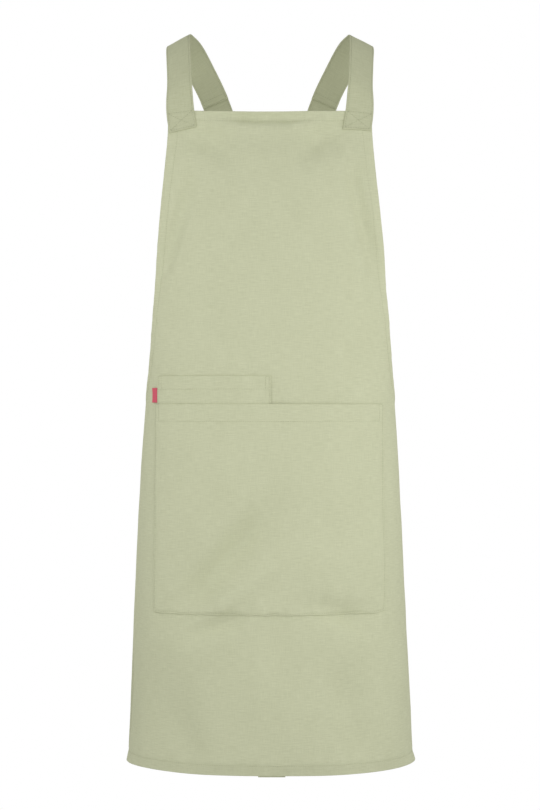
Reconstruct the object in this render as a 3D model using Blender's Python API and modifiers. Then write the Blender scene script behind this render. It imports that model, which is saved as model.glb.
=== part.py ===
"""Bib apron with straps that cross on the back, shown as it is worn.

Metres, +Z up, the front faces -Y and the wearer's right side is at -X. The origin lies halfway between
the crests of the two straps, where they rest on the shoulders. The pieces are one body panel that wraps
to an open back, a large and a small patch pocket, a plain label, four strap pieces and a hem tab.
"""
import math

import bmesh
import bpy
from mathutils import Matrix, Vector

# Cloth walls and the clearance between pieces that are sewn together
CLOTH = 0.0012
HEM_WALL = 0.0020
STRAP_WALL = 0.0020
LABEL_WALL = 0.0010
GAP = 0.0003

# Body panel, down from the shoulder crests
BIB_DROP = 0.1087
BIB_DIP = 0.0035
BIB_DIP_REACH = 0.300
BIB_WIDTH = 0.2832
PANEL_LENGTH = 0.913
BACK_CORNER_DROP = 0.5797
BACK_CORNER_HALF = 0.096
BACK_HEM_HALF = 0.060

# The round form that the panel keeps: half widths and depths at the bib, the waist and the hem
WAIST_DROP = 0.5167
BIB_HALF = 0.225
WAIST_HALF = 0.1771
HEM_HALF = 0.203
BIB_FRONT = 0.097
WAIST_FRONT = 0.115
HEM_FRONT = 0.134
BIB_BACK = 0.102
WAIST_BACK = 0.104
HEM_BACK = 0.122
BIB_SQUARENESS = 2.0
WAIST_SQUARENESS = 2.2
HEM_SQUARENESS = 2.4

# Widths of the turned and stitched hems
BIB_HEM = 0.013
SIDE_HEM = 0.011
LOWER_HEM = 0.014
HEM_STEP = 0.0015

# Large pocket across the front
POCKET_WIDTH = 0.3188
POCKET_CENTRE = -0.0014
POCKET_DROP = 0.5163
POCKET_HEIGHT = 0.2888
POCKET_HEM = 0.024
POCKET_LIFT = 0.0075
POCKET_RISE = 0.014

# Small pocket behind the large one, on the wearer's right
SMALL_INSET = 0.0050
SMALL_WIDTH = 0.1570
SMALL_DROP = 0.4773
SMALL_HEIGHT = 0.150
SMALL_HEM = 0.0185
SMALL_LIFT = 0.0007

# Plain label at the small pocket's outer edge
LABEL_REACH = 0.0072
LABEL_HEIGHT = 0.0204
LABEL_DROP = 0.4939

# Straps
STRAP_WIDTH = 0.040
SHOULDER_HALF = 0.1310
SHOULDER_SLOPE = 23.0
FOOT_LENGTH = 0.0272
FOOT_OUT = 0.1215
EDGE_OUT = 0.1242
SEAM_DROP = 0.0692
SEAM_OUT = 0.0815
SEAM_BACK = 0.086
SEAM_FACE = (0.22, 0.93, 0.28)
SEAM_LAP = 0.012
CORNER_MARGIN = 0.004
FREE_START = 0.004
FREE_REACH = 0.045
CROSS_REACH = 1.45
OVER_SIDE = "left"

# Tab of the same cloth behind the middle of the front hem
TAB_WIDTH = 0.0375
TAB_HEIGHT = 0.020
TAB_SHOW = 0.0030
TAB_CENTRE = 0.0024

# Facets. A hem has two lines of its own on each edge: its stitches and its fold.
HEM_LINES = 2
FRONT_COLUMNS = 22
BACK_COLUMNS = 11
BIB_ROWS = 9
SKIRT_ROWS = 11
POCKET_COLUMNS = 28
POCKET_ROWS = 8
SMALL_COLUMNS = 14
SMALL_ROWS = 5
STRAP_COLUMNS = 4
SHOULDER_ROWS = 22
BACK_ROWS = 30
BACK_STATIONS = 8
LABEL_GRID = (3, 2)
TAB_GRID = (4, 2)

# Length over which a slope or a direction is measured, and how near the side the form is cut off
PROBE = 0.001
NEAR_SIDE = 0.9999

# Armhole edge down the front, from the bib corner (0) to the side (1): how far it has turned round
ARMHOLE_FRONT = (
    # down, turn
    (0.00, 0.000),
    (0.08, 0.000),
    (0.17, 0.023),
    (0.30, 0.091),
    (0.50, 0.228),
    (0.71, 0.400),
    (0.85, 0.570),
    (0.93, 0.718),
    (0.97, 0.850),
    (1.00, 1.000),
)

# Armhole edge round the back, from the side (0) to the back corner (1): how far it has dropped
ARMHOLE_BACK = (
    # turn, drop
    (0.00, 0.000),
    (0.15, 0.270),
    (0.35, 0.550),
    (0.65, 0.830),
    (1.00, 1.000),
)

# Skirt's width between the waist (0) and the hem (1)
FLARE = (
    # down, share
    (0.00, 0.000),
    (0.17, 0.225),
    (0.34, 0.420),
    (0.50, 0.578),
    (0.67, 0.732),
    (0.84, 0.870),
    (1.00, 1.000),
)

# Free arch of a strap over the shoulder. Out is a share of SHOULDER_HALF, depth of the front depth
# before the crest and of the back depth after it, height of BIB_DROP; turn and lean are degrees by
# which the face looks outward and has tipped back from facing forward.
ARCH = (
    # out, depth, height, turn, lean
    (0.958, -0.800, -0.681, 28.0, 8.0),
    (0.976, -0.560, -0.269, 31.0, 38.0),
    (0.988, -0.280, -0.045, 29.0, 68.0),
    (0.965, 0.030, 0.000, SHOULDER_SLOPE, 94.0),
    (0.880, 0.330, -0.080, 22.0, 122.0),
    (0.765, 0.590, -0.305, 20.0, 148.0),
)

# Extra turn of each strap's sewn foot on the bib, in degrees
FOOT_TURN = {"left": 6.0, "right": 3.0}
SIDES = {"left": -1.0, "right": 1.0}

SAGE = (0.552, 0.571, 0.386, 1.0)
SAGE_SHADE = (0.50, 0.52, 0.34, 1.0)
RED = (0.55, 0.045, 0.07, 1.0)


def clear_scene():
    for thing in list(bpy.data.objects):
        bpy.data.objects.remove(thing, do_unlink=True)


def smooth(rows, column, at):
    """Value of a table's column at a place between its rows, on a curve with no corners."""
    last = len(rows) - 1
    at = min(max(at, rows[0][0]), rows[last][0])
    low = 0
    while low < last - 1 and at > rows[low + 1][0]:
        low += 1

    def slope(index):
        before = max(index - 1, 0)
        after = min(index + 1, last)
        return (rows[after][column] - rows[before][column]) / (rows[after][0] - rows[before][0])

    span = rows[low + 1][0] - rows[low][0]
    t = (at - rows[low][0]) / span
    start = rows[low][column]
    end = rows[low + 1][column]
    rest = t * t * (3.0 - 2.0 * t)
    bend = slope(low) * t * (1.0 - t) ** 2 - slope(low + 1) * t * t * (1.0 - t)
    return start + (end - start) * rest + bend * span


def ease(t):
    t = min(max(t, 0.0), 1.0)
    return t * t * (3.0 - 2.0 * t)


def section(height):
    """Half width, front depth, back depth and squareness of the body's form at a height."""
    if height > -WAIST_DROP:
        share = min(1.0, (-BIB_DROP - height) / (WAIST_DROP - BIB_DROP))
        bib = (1.0 - max(share, 0.0)) ** 2
        hem = 0.0
    else:
        bib = 0.0
        reach = BIB_DROP + PANEL_LENGTH - WAIST_DROP
        hem = smooth(FLARE, 1, (-WAIST_DROP - height) / reach)
    waist = 1.0 - bib - hem
    half = bib * BIB_HALF + waist * WAIST_HALF + hem * HEM_HALF
    front = bib * BIB_FRONT + waist * WAIST_FRONT + hem * HEM_FRONT
    back = bib * BIB_BACK + waist * WAIST_BACK + hem * HEM_BACK
    squareness = bib * BIB_SQUARENESS + waist * WAIST_SQUARENESS + hem * HEM_SQUARENESS
    return half, front, back, squareness


def depth_at(across, height, side):
    """Y of the form at a width and height, on the front (side -1) or the back (side 1)."""
    half, front, back, squareness = section(height)
    share = min(abs(across) / half, NEAR_SIDE)
    depth = front if side < 0 else back
    return side * depth * (1.0 - share ** squareness) ** (1.0 / squareness)


def on_form(angle, height):
    """Point of the form at an angle round from the middle of the front and a height."""
    half, front, back, squareness = section(height)
    depth = front if abs(angle) < math.pi / 2 else back
    wide = abs(math.sin(angle)) / half
    deep = abs(math.cos(angle)) / depth
    reach = (wide ** squareness + deep ** squareness) ** (-1.0 / squareness)
    return Vector((reach * math.sin(angle), -reach * math.cos(angle), height))


def form_normal(across, height, side):
    """Outward direction of the form at a width and height."""
    here = Vector((across, depth_at(across, height, side), height))
    wide = Vector((across + PROBE, depth_at(across + PROBE, height, side), height)) - here
    tall = Vector((across, depth_at(across, height + PROBE, side), height + PROBE)) - here
    normal = wide.cross(tall).normalized()
    return normal if normal.y * side > 0 else -normal


def proud(across, height, side, stand):
    """Point that stands off the form by a distance."""
    here = Vector((across, depth_at(across, height, side), height))
    return here + form_normal(across, height, side) * stand


def shares(count):
    return [step / count for step in range(count + 1)]


def sheet(name, columns, rows, place, colour, outward=True, thick=None, wall=CLOTH, keep=None):
    """A cloth wall: a grid whose points are placed by a function, given its thickness by Solidify.

    place(column, row) gives a point, rows run upward and columns to the right seen from outside.
    thick(column, row) is 1 where the cloth is turned into a hem and 0 where it is one ply, and
    keep(column, row) says which points the cut of the cloth leaves.
    """
    mesh = bpy.data.meshes.new(name)
    grid = bmesh.new()
    bmesh.ops.create_grid(grid, x_segments=columns, y_segments=rows, size=1.0)
    grid.verts.ensure_lookup_table()
    weights = grid.verts.layers.deform.verify()
    cut_away = []
    for index, vertex in enumerate(grid.verts):
        column, row = index % (columns + 1), index // (columns + 1)
        if keep is not None and not keep(column, row):
            cut_away.append(vertex)
            continue
        vertex.co = place(column, row)
        if thick is not None:
            vertex[weights][0] = thick(column, row)
    bmesh.ops.delete(grid, geom=cut_away, context="VERTS")
    grid.to_mesh(mesh)
    grid.free()
    piece = bpy.data.objects.new(name, mesh)
    collection.objects.link(piece)
    wall_modifier = piece.modifiers.new("Wall", "SOLIDIFY")
    wall_modifier.offset = 1.0 if outward else -1.0
    wall_modifier.thickness = wall
    wall_modifier.use_even_offset = True
    if thick is not None:
        piece.vertex_groups.new(name="hems")
        wall_modifier.thickness = HEM_WALL
        wall_modifier.vertex_group = "hems"
        wall_modifier.thickness_vertex_group = wall / HEM_WALL
    mesh.shade_smooth()
    piece.data.materials.append(cloth_material(name, colour))
    return piece


def cloth_material(name, colour):
    material = bpy.data.materials.new(name + "_cloth")
    material.use_nodes = True
    shader = material.node_tree.nodes["Principled BSDF"]
    shader.inputs["Base Color"].default_value = colour
    shader.inputs["Roughness"].default_value = 0.9
    return material


def panel_columns():
    """Columns of one side from the middle of the front to the back edge, as front and back shares.

    Each is the share of the turn from the middle to the side, the share from the side to the back
    edge and how many hem lines in from its edge it lies.
    """
    columns = [(share, 0.0, 0) for share in shares(FRONT_COLUMNS)]
    columns += [(1.0, 0.0, line) for line in range(1, HEM_LINES + 1)]
    columns += [(1.0, share, 0) for share in shares(BACK_COLUMNS)[1:]]
    columns += [(1.0, 1.0, line) for line in range(1, HEM_LINES + 1)]
    return columns


def hem_inset(line):
    """How far in from its edge a hem line lies: the last open cloth, the stitches or the fold."""
    return (SIDE_HEM + HEM_STEP, SIDE_HEM, 0.0)[line]


def apron_panel():
    columns = panel_columns()
    last_front = FRONT_COLUMNS + HEM_LINES
    half = len(columns) - 1
    lower = -BIB_DROP - PANEL_LENGTH
    side = math.pi / 2
    skirt_last = SKIRT_ROWS + 2 * HEM_LINES
    rows = skirt_last + BIB_ROWS + HEM_LINES

    def skirt_height(row, top):
        """Height of a skirt row under its top: two lines of the lower hem, the cloth, the top hem."""
        low = lower + LOWER_HEM + HEM_STEP
        high = top - SIDE_HEM - HEM_STEP
        if row < HEM_LINES:
            return (lower, lower + LOWER_HEM)[row]
        if row > skirt_last - HEM_LINES:
            return (top, top - SIDE_HEM)[skirt_last - row]
        return low + (high - low) * (row - HEM_LINES) / SKIRT_ROWS

    def bib_height(row):
        high = -BIB_DROP - BIB_HEM - HEM_STEP
        if row > rows - HEM_LINES:
            return (-BIB_DROP, -BIB_DROP - BIB_HEM)[rows - row]
        return -WAIST_DROP + (high + WAIST_DROP) * (row - skirt_last) / BIB_ROWS

    def back_edge(height):
        """Angle of the open back edge, straight from the back corner to the hem."""
        down = (-BACK_CORNER_DROP - height) / (-BACK_CORNER_DROP - lower)
        across = BACK_CORNER_HALF + (BACK_HEM_HALF - BACK_CORNER_HALF) * down
        return math.pi - math.atan2(across, depth_at(across, height, 1))

    def place(column, row):
        index = abs(column - half)
        front, back, line = columns[index]
        hand = 1.0 if column >= half else -1.0
        on_back = index > last_front
        top = -WAIST_DROP
        if on_back:
            top -= (BACK_CORNER_DROP - WAIST_DROP) * smooth(ARMHOLE_BACK, 1, back)
        height = skirt_height(row, top) if row <= skirt_last else bib_height(row)
        edge = side
        if row > skirt_last:
            corner = math.atan2(BIB_WIDTH / 2, -depth_at(BIB_WIDTH / 2, -BIB_DROP, -1))
            down = (-BIB_DROP - height) / (WAIST_DROP - BIB_DROP)
            edge = corner + (side - corner) * smooth(ARMHOLE_FRONT, 1, down)
        if on_back:
            edge = back_edge(height)
        reach = on_form(edge, height).xy.length
        if line:
            turn = edge - hem_inset(line) / reach
        elif on_back:
            turn = side + (edge - hem_inset(0) / reach - side) * back
        else:
            turn = (edge - hem_inset(0) / reach) * front
        dip = BIB_DIP * (1.0 - (turn / edge) ** 2) * ease(1.0 + (height + BIB_DROP) / BIB_DIP_REACH)
        point = on_form(hand * turn, height)
        return point - Vector((0.0, 0.0, dip))

    def keep(column, row):
        """The back columns end at the armhole, so nothing of them is left beside the bib."""
        return abs(column - half) <= last_front or row <= skirt_last

    def thick(column, row):
        index = abs(column - half)
        on_side_hem = columns[index][2] > 0
        at_ends = row < HEM_LINES or row > rows - HEM_LINES
        on_edge = on_side_hem and (index > last_front or row >= skirt_last)
        top_of_back = index >= last_front and skirt_last - HEM_LINES < row <= skirt_last
        return 1.0 if at_ends or on_edge or top_of_back else 0.0

    return sheet("apron_panel", 2 * half, rows, place, SAGE, outward=False, thick=thick, keep=keep)


def rise(distance, length):
    """How far cloth has left the panel at a distance from the seam that holds it down."""
    return 1.0 - math.exp(-max(distance, 0.0) / length)


def patch_pocket(name, left, right, top, bottom, hem, lift, grain):
    """A flat pocket sewn down at both sides and its lower edge, its mouth standing a little open."""
    columns, inner_rows = grain
    heights = [bottom + (top - hem - HEM_STEP - bottom) * share for share in shares(inner_rows)]
    heights += [top - hem, top]

    def place(column, row):
        across = left + (right - left) * column / columns
        height = heights[row]
        stand = lift * rise(across - left, POCKET_RISE) * rise(right - across, POCKET_RISE)
        stand *= rise(height - bottom, POCKET_RISE)
        return proud(across, height, -1, GAP + stand)

    def thick(column, row):
        return 1.0 if row > inner_rows else 0.0

    return sheet(name, columns, len(heights) - 1, place, SAGE, thick=thick)


def label():
    """A small plain woven label that leaves the small pocket's outer seam and lies on the panel."""
    columns, rows = LABEL_GRID
    edge = small_left() - GAP
    top = -LABEL_DROP

    def place(column, row):
        across = edge - LABEL_REACH + LABEL_REACH * column / columns
        return proud(across, top - LABEL_HEIGHT + LABEL_HEIGHT * row / rows, -1, GAP)

    return sheet("side_label", columns, rows, place, RED, wall=LABEL_WALL)


def hem_tab():
    """A folded tab of the cloth behind the middle of the front hem, a few millimetres of it below."""
    columns, rows = TAB_GRID
    lower = -BIB_DROP - PANEL_LENGTH

    def place(column, row):
        across = TAB_CENTRE + TAB_WIDTH * (column / columns - 0.5)
        height = lower - TAB_SHOW + TAB_HEIGHT * row / rows
        point = proud(across, max(lower, height), -1, -HEM_WALL - GAP)
        point.z = height
        return point

    return sheet("hem_tab", columns, rows, place, SAGE_SHADE, outward=False, wall=STRAP_WALL)


def pocket_left():
    return POCKET_CENTRE - POCKET_WIDTH / 2


def small_left():
    return pocket_left() + SMALL_INSET


def strap_stations(side):
    """Stations of a strap from its foot on the bib to its foot at the opposite back corner.

    Each is the length run so far, the centre and the direction that the face looks. Also gives how
    far along the bib's edge, the seam and the level of the bib on the back are.
    """
    foot = proud(side * FOOT_OUT, -BIB_DROP - FOOT_LENGTH, -1, GAP)
    edge = proud(side * EDGE_OUT, -BIB_DROP, -1, GAP)
    places = [(foot, form_normal(foot.x, foot.z, -1)), (edge, form_normal(edge.x, edge.z, -1))]
    for out, depth, height, turn, lean in ARCH:
        reach = BIB_FRONT if depth < 0 else BIB_BACK
        turn = math.radians(turn)
        lean = math.radians(lean)
        level = math.cos(turn)
        face = Vector((side * math.sin(turn), -level * math.cos(lean), level * math.sin(lean)))
        places.append((Vector((side * out * SHOULDER_HALF, depth * reach, height * BIB_DROP)), face))
    seam = Vector((side * SEAM_OUT, SEAM_BACK, -SEAM_DROP))
    outward, backward, upward = SEAM_FACE
    places.append((seam, Vector((side * outward, backward, upward)).normalized()))
    seam_index = len(places) - 1
    corner_out = BACK_CORNER_HALF + CORNER_MARGIN + STRAP_WIDTH / 2
    run_across = -side * corner_out - seam.x
    run_down = -BACK_CORNER_DROP - FOOT_LENGTH - seam.z
    for share in shares(BACK_STATIONS)[1:]:
        across = seam.x + run_across * share
        height = seam.z + run_down * share
        places.append((proud(across, height, 1, GAP), form_normal(across, height, 1)))
    stations = []
    along = 0.0
    before = foot
    for centre, face in places:
        along += (centre - before).length
        before = centre
        stations.append((along, *centre, *face))
    return stations, stations[1][0], stations[seam_index][0]


def strap_frame(stations, at):
    """Centre, direction across and face direction of a strap at a length along it."""
    end = stations[-1][0]
    centre = Vector([smooth(stations, column, at) for column in (1, 2, 3)])
    low, high = (at, at + PROBE) if at + PROBE <= end else (at - PROBE, at)
    behind, ahead = (Vector([smooth(stations, column, place) for column in (1, 2, 3)])
                     for place in (low, high))
    face = Vector([smooth(stations, column, at) for column in (4, 5, 6)]).normalized()
    return centre, (ahead - behind).cross(face).normalized(), face


def strap(name, hand, first, last, rows, lapped):
    """One stretch of a strap, folded cloth whose inner face lies on the panel where they meet.

    A lapped stretch starts outside the end of the stretch before it.
    """
    side = SIDES[hand]
    stations, bib_edge, seam = strap_stations(side)
    end = stations[-1][0]
    start_at = 0.0 if first is None else seam + first
    end_at = end if last is None else seam + last
    step_up = STRAP_WALL + GAP
    cross = -SEAM_DROP - (BACK_CORNER_DROP + FOOT_LENGTH - SEAM_DROP) * SEAM_OUT / (
        SEAM_OUT + BACK_CORNER_HALF + CORNER_MARGIN + STRAP_WIDTH / 2)
    crossing = STRAP_WIDTH * CROSS_REACH

    def place(column, row):
        at = start_at + (end_at - start_at) * row / rows
        centre, across, face = strap_frame(stations, at)
        turn = math.radians(FOOT_TURN[hand]) * ease(1.0 - at / bib_edge)
        across = Matrix.Rotation(turn, 3, face) @ across
        point = centre + across * STRAP_WIDTH * (column / STRAP_COLUMNS - 0.5)
        on_front = 1.0 - ease((at - bib_edge - FREE_START) / FREE_REACH)
        on_back = ease((at - seam) / FREE_REACH)
        if on_front > 0.0:
            point = point.lerp(proud(point.x, point.z, -1, GAP), on_front)
        if on_back > 0.0:
            point = point.lerp(proud(point.x, point.z, 1, GAP), on_back)
        lift = 0.0
        if lapped:
            lift += step_up * (1.0 - ease((at - seam - SEAM_LAP) / FREE_REACH))
            if hand == OVER_SIDE:
                lift += step_up * (1.0 - ease((abs(centre.z - cross) - crossing) / FREE_REACH))
        return point + face * lift

    return sheet(name, STRAP_COLUMNS, rows, place, SAGE, wall=STRAP_WALL)


clear_scene()
collection = bpy.data.collections.new("bib_apron")
bpy.context.scene.collection.children.link(collection)
apron_panel()
patch_pocket(
    "large_pocket", pocket_left(), pocket_left() + POCKET_WIDTH, -POCKET_DROP,
    -POCKET_DROP - POCKET_HEIGHT, POCKET_HEM, POCKET_LIFT, (POCKET_COLUMNS, POCKET_ROWS))
patch_pocket(
    "small_pocket", small_left(), small_left() + SMALL_WIDTH, -SMALL_DROP,
    -SMALL_DROP - SMALL_HEIGHT, SMALL_HEM, SMALL_LIFT, (SMALL_COLUMNS, SMALL_ROWS))
label()
hem_tab()
for side_name in SIDES:
    strap("shoulder_strap_" + side_name, side_name, None, SEAM_LAP / 2, SHOULDER_ROWS, False)
    strap("back_strap_" + side_name, side_name, -SEAM_LAP / 2, None, BACK_ROWS, True)
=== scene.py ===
import functools
import math

import bmesh
import bpy
from mathutils import Matrix, Vector, noise


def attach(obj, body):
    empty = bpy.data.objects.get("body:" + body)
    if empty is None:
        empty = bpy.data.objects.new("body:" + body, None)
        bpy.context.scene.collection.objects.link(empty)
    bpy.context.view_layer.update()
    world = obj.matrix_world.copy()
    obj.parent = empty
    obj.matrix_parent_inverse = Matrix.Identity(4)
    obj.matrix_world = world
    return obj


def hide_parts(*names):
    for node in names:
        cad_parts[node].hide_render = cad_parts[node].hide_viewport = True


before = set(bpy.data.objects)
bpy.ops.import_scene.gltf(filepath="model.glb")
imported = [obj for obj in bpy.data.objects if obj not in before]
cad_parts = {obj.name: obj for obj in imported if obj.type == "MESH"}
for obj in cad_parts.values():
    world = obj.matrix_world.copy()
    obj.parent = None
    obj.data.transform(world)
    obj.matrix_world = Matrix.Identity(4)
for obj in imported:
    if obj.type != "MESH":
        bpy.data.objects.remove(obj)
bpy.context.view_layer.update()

# Body panel. One length of light cotton and linen cloth that wraps the front and sides and stays
# open at the back. Every edge is turned in twice and held with one row of lockstitch, so it is
# twice as thick there and a little puckered.
CLOTH = 0.0012
HEM_WALL = 0.0020
GAP = 0.0003

BIB_DROP = 0.1087
BIB_DIP = 0.0035
BIB_DIP_REACH = 0.300
BIB_WIDTH = 0.2832
PANEL_LENGTH = 0.913
WAIST_DROP = 0.5167
BACK_CORNER_DROP = 0.5797
BACK_CORNER_HALF = 0.096
BACK_HEM_HALF = 0.060
LOWER_EDGE = -BIB_DROP - PANEL_LENGTH

# Half width, front depth, back depth and squareness of the form that the cloth keeps
BIB_FORM = (0.225, 0.097, 0.102, 2.0)
WAIST_FORM = (0.1771, 0.115, 0.104, 2.2)
HEM_FORM = (0.203, 0.134, 0.122, 2.4)

BIB_HEM = 0.013
SIDE_HEM = 0.011
LOWER_HEM = 0.014
HEM_STEP = 0.0015
FOLDED_EDGE = [0.0, 0.0005, 0.0013]

ARMHOLE_FRONT = (
    # down, turn
    (0.00, 0.000),
    (0.08, 0.000),
    (0.17, 0.023),
    (0.30, 0.091),
    (0.50, 0.228),
    (0.71, 0.400),
    (0.85, 0.570),
    (0.93, 0.718),
    (0.97, 0.850),
    (1.00, 1.000),
)
ARMHOLE_BACK = (
    # turn, drop
    (0.00, 0.000),
    (0.15, 0.270),
    (0.35, 0.550),
    (0.65, 0.830),
    (1.00, 1.000),
)
FLARE = (
    # down, share
    (0.00, 0.000),
    (0.17, 0.225),
    (0.34, 0.420),
    (0.50, 0.578),
    (0.67, 0.732),
    (0.84, 0.870),
    (1.00, 1.000),
)

# Soft folds on the front, each along a line from one point to another, with its half width and
# how far the cloth stands out (or in, below zero) along its middle
FRONT_FOLDS = (
    # x, z, x, z, half width, height
    (-0.044, -0.1165, 0.034, -0.1170, 0.0088, -0.0088),
    (-0.084, -0.1135, -0.022, -0.1170, 0.0060, -0.0040),
    (0.016, -0.1180, 0.066, -0.1150, 0.0060, -0.0036),
    (-0.095, -0.1400, 0.095, -0.1400, 0.0220, -0.0044),
    (-0.128, -0.138, -0.056, -0.162, 0.026, -0.0072),
    (-0.108, -0.136, -0.046, -0.190, 0.014, -0.0028),
    (0.036, -0.160, 0.116, -0.134, 0.026, -0.0074),
    (0.103, -0.122, 0.034, -0.180, 0.015, -0.0030),
    (-0.104, -0.186, -0.150, -0.335, 0.012, -0.0064),
    (-0.096, -0.236, -0.134, -0.335, 0.013, 0.0020),
    (0.113, -0.182, 0.147, -0.328, 0.011, -0.0074),
    (0.136, -0.222, 0.160, -0.325, 0.009, 0.0026),
    (-0.110, -0.384, -0.036, -0.386, 0.0045, -0.0014),
    (0.146, -0.370, 0.150, -0.410, 0.020, 0.0016),
    (0.110, -0.440, 0.112, -0.512, 0.012, -0.0034),
    (-0.048, -0.428, -0.012, -0.512, 0.009, -0.0022),
    (-0.002, -0.664, -0.117, -0.795, 0.022, -0.0150),
    (0.014, -0.730, -0.074, -0.798, 0.015, 0.0058),
    (0.056, -0.793, 0.140, -0.806, 0.016, -0.0086),
    (0.035, -0.740, 0.095, -0.735, 0.022, 0.0020),
    (-0.042, -0.808, -0.112, -0.834, 0.013, -0.0060),
    (0.100, -0.806, 0.136, -0.834, 0.010, -0.0050),
    (-0.156, -0.880, -0.142, -1.014, 0.046, -0.0115),
    (-0.128, -0.940, -0.106, -1.000, 0.018, -0.0034),
    (0.098, -0.886, 0.120, -1.000, 0.026, -0.0110),
    (-0.020, -0.880, 0.030, -0.985, 0.034, 0.0036),
    (0.150, -0.690, 0.158, -0.830, 0.016, 0.0022),
)


def smooth(rows, column, at):
    """Value of a table's column at a place between its rows, on a curve with no corners."""
    last = len(rows) - 1
    at = min(max(at, rows[0][0]), rows[last][0])
    low = 0
    while low < last - 1 and at > rows[low + 1][0]:
        low += 1

    def slope(index):
        before = max(index - 1, 0)
        after = min(index + 1, last)
        return (rows[after][column] - rows[before][column]) / (rows[after][0] - rows[before][0])

    span = rows[low + 1][0] - rows[low][0]
    t = (at - rows[low][0]) / span
    start = rows[low][column]
    end = rows[low + 1][column]
    rest = t * t * (3.0 - 2.0 * t)
    bend = slope(low) * t * (1.0 - t) ** 2 - slope(low + 1) * t * t * (1.0 - t)
    return start + (end - start) * rest + bend * span


def ease(t):
    t = min(max(t, 0.0), 1.0)
    return t * t * (3.0 - 2.0 * t)


@functools.lru_cache(maxsize=None)
def section(height):
    """Half width, front depth, back depth and squareness of the form at a height."""
    if height > -WAIST_DROP:
        share = min(1.0, (-BIB_DROP - height) / (WAIST_DROP - BIB_DROP))
        bib = (1.0 - max(share, 0.0)) ** 2
        hem = 0.0
    else:
        bib = 0.0
        hem = smooth(FLARE, 1, (-WAIST_DROP - height) / (BIB_DROP + PANEL_LENGTH - WAIST_DROP))
    waist = 1.0 - bib - hem
    return tuple(
        bib * of_bib + waist * of_waist + hem * of_hem
        for of_bib, of_waist, of_hem in zip(BIB_FORM, WAIST_FORM, HEM_FORM)
    )


def on_form(angle, height):
    """Point of the form at an angle round from the middle of the front and a height."""
    half, front, back, squareness = section(height)
    depth = front if abs(angle) < math.pi / 2 else back
    wide = abs(math.sin(angle)) / half
    deep = abs(math.cos(angle)) / depth
    reach = (wide ** squareness + deep ** squareness) ** (-1.0 / squareness)
    return Vector((reach * math.sin(angle), -reach * math.cos(angle), height))


def depth_at(across, height, side):
    """Y of the form at a width and height, on the front (side -1) or the back (side 1)."""
    half, front, back, squareness = section(height)
    share = min(abs(across) / half, 0.9999)
    depth = front if side < 0 else back
    return side * depth * (1.0 - share ** squareness) ** (1.0 / squareness)


def outward(point, side):
    """Direction that the form faces at a point of its front (side -1) or its back (side 1)."""
    def swell(x, y, height):
        half, front, back, squareness = section(height)
        depth = front if side < 0 else back
        return (abs(x) / half) ** squareness + (abs(y) / depth) ** squareness

    step = 0.0005
    here = swell(point.x, point.y, point.z)
    return Vector((
        swell(point.x + step, point.y, point.z) - swell(point.x - step, point.y, point.z),
        swell(point.x, point.y + step, point.z) - swell(point.x, point.y - step, point.z),
        (swell(point.x, point.y, point.z + step) - here) * 2.0,
    )).normalized()


def fold_height(point):
    """How far the listed folds of the front move the cloth at a point."""
    total = 0.0
    for x0, z0, x1, z1, width, height in FRONT_FOLDS:
        run_x, run_z = x1 - x0, z1 - z0
        length = math.hypot(run_x, run_z)
        from_x, from_z = point.x - (x0 + x1) / 2, point.z - (z0 + z1) / 2
        along = abs(from_x * run_x + from_z * run_z) / length / (0.55 * length)
        beside = (from_x * run_z - from_z * run_x) / length / width
        if along < 2.0 and abs(beside) < 3.0:
            total += height * math.exp(-beside ** 2 - along ** 3)
    return total


WAVES = (
    # height, reach across, reach down
    (0.0016, 0.075, 0.21),
    (0.0005, 0.030, 0.045),
)
BACK_FOLD = 0.0042
BACK_FOLD_RATE = 12.5
BACK_FOLD_GROWTH = 0.30


def drape(point, side):
    """How far the cloth stands off the plain form at a point: folds, long waves and small ones."""
    waves = sum(
        height * noise.noise(Vector((point.x / across, point.y / across, point.z / down)))
        for height, across, down in WAVES
    )
    if side < 0:
        return waves + fold_height(point)
    # The back hangs free below the corners, so it falls in soft upright folds that open downward
    round_back = math.atan2(abs(point.x), point.y)
    hang = ease((-BACK_CORNER_DROP - point.z) / BACK_FOLD_GROWTH) * ease((1.42 - round_back) / 0.35)
    hand = 1.0 if point.x > 0 else -1.0
    waves += BACK_FOLD * hang * math.sin(round_back * BACK_FOLD_RATE + 0.6 * hand + 2.0 * point.z)
    return waves


def settle(across, height, side, stand):
    """Point that stands off the draped cloth by a distance, and the direction it faces."""
    here = Vector((across, depth_at(across, height, side), height))
    normal = outward(here, side)
    return here + normal * (drape(here, side) + stand), normal


EDGE_SHARE = 0.42


def roll(inset, wall):
    """Wall left near a folded edge, which rounds off over its last millimetre."""
    t = min(inset / FOLDED_EDGE[-1], 1.0)
    return wall * (EDGE_SHARE + (1.0 - EDGE_SHARE) * math.sqrt(1.0 - (1.0 - t) ** 2))


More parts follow.
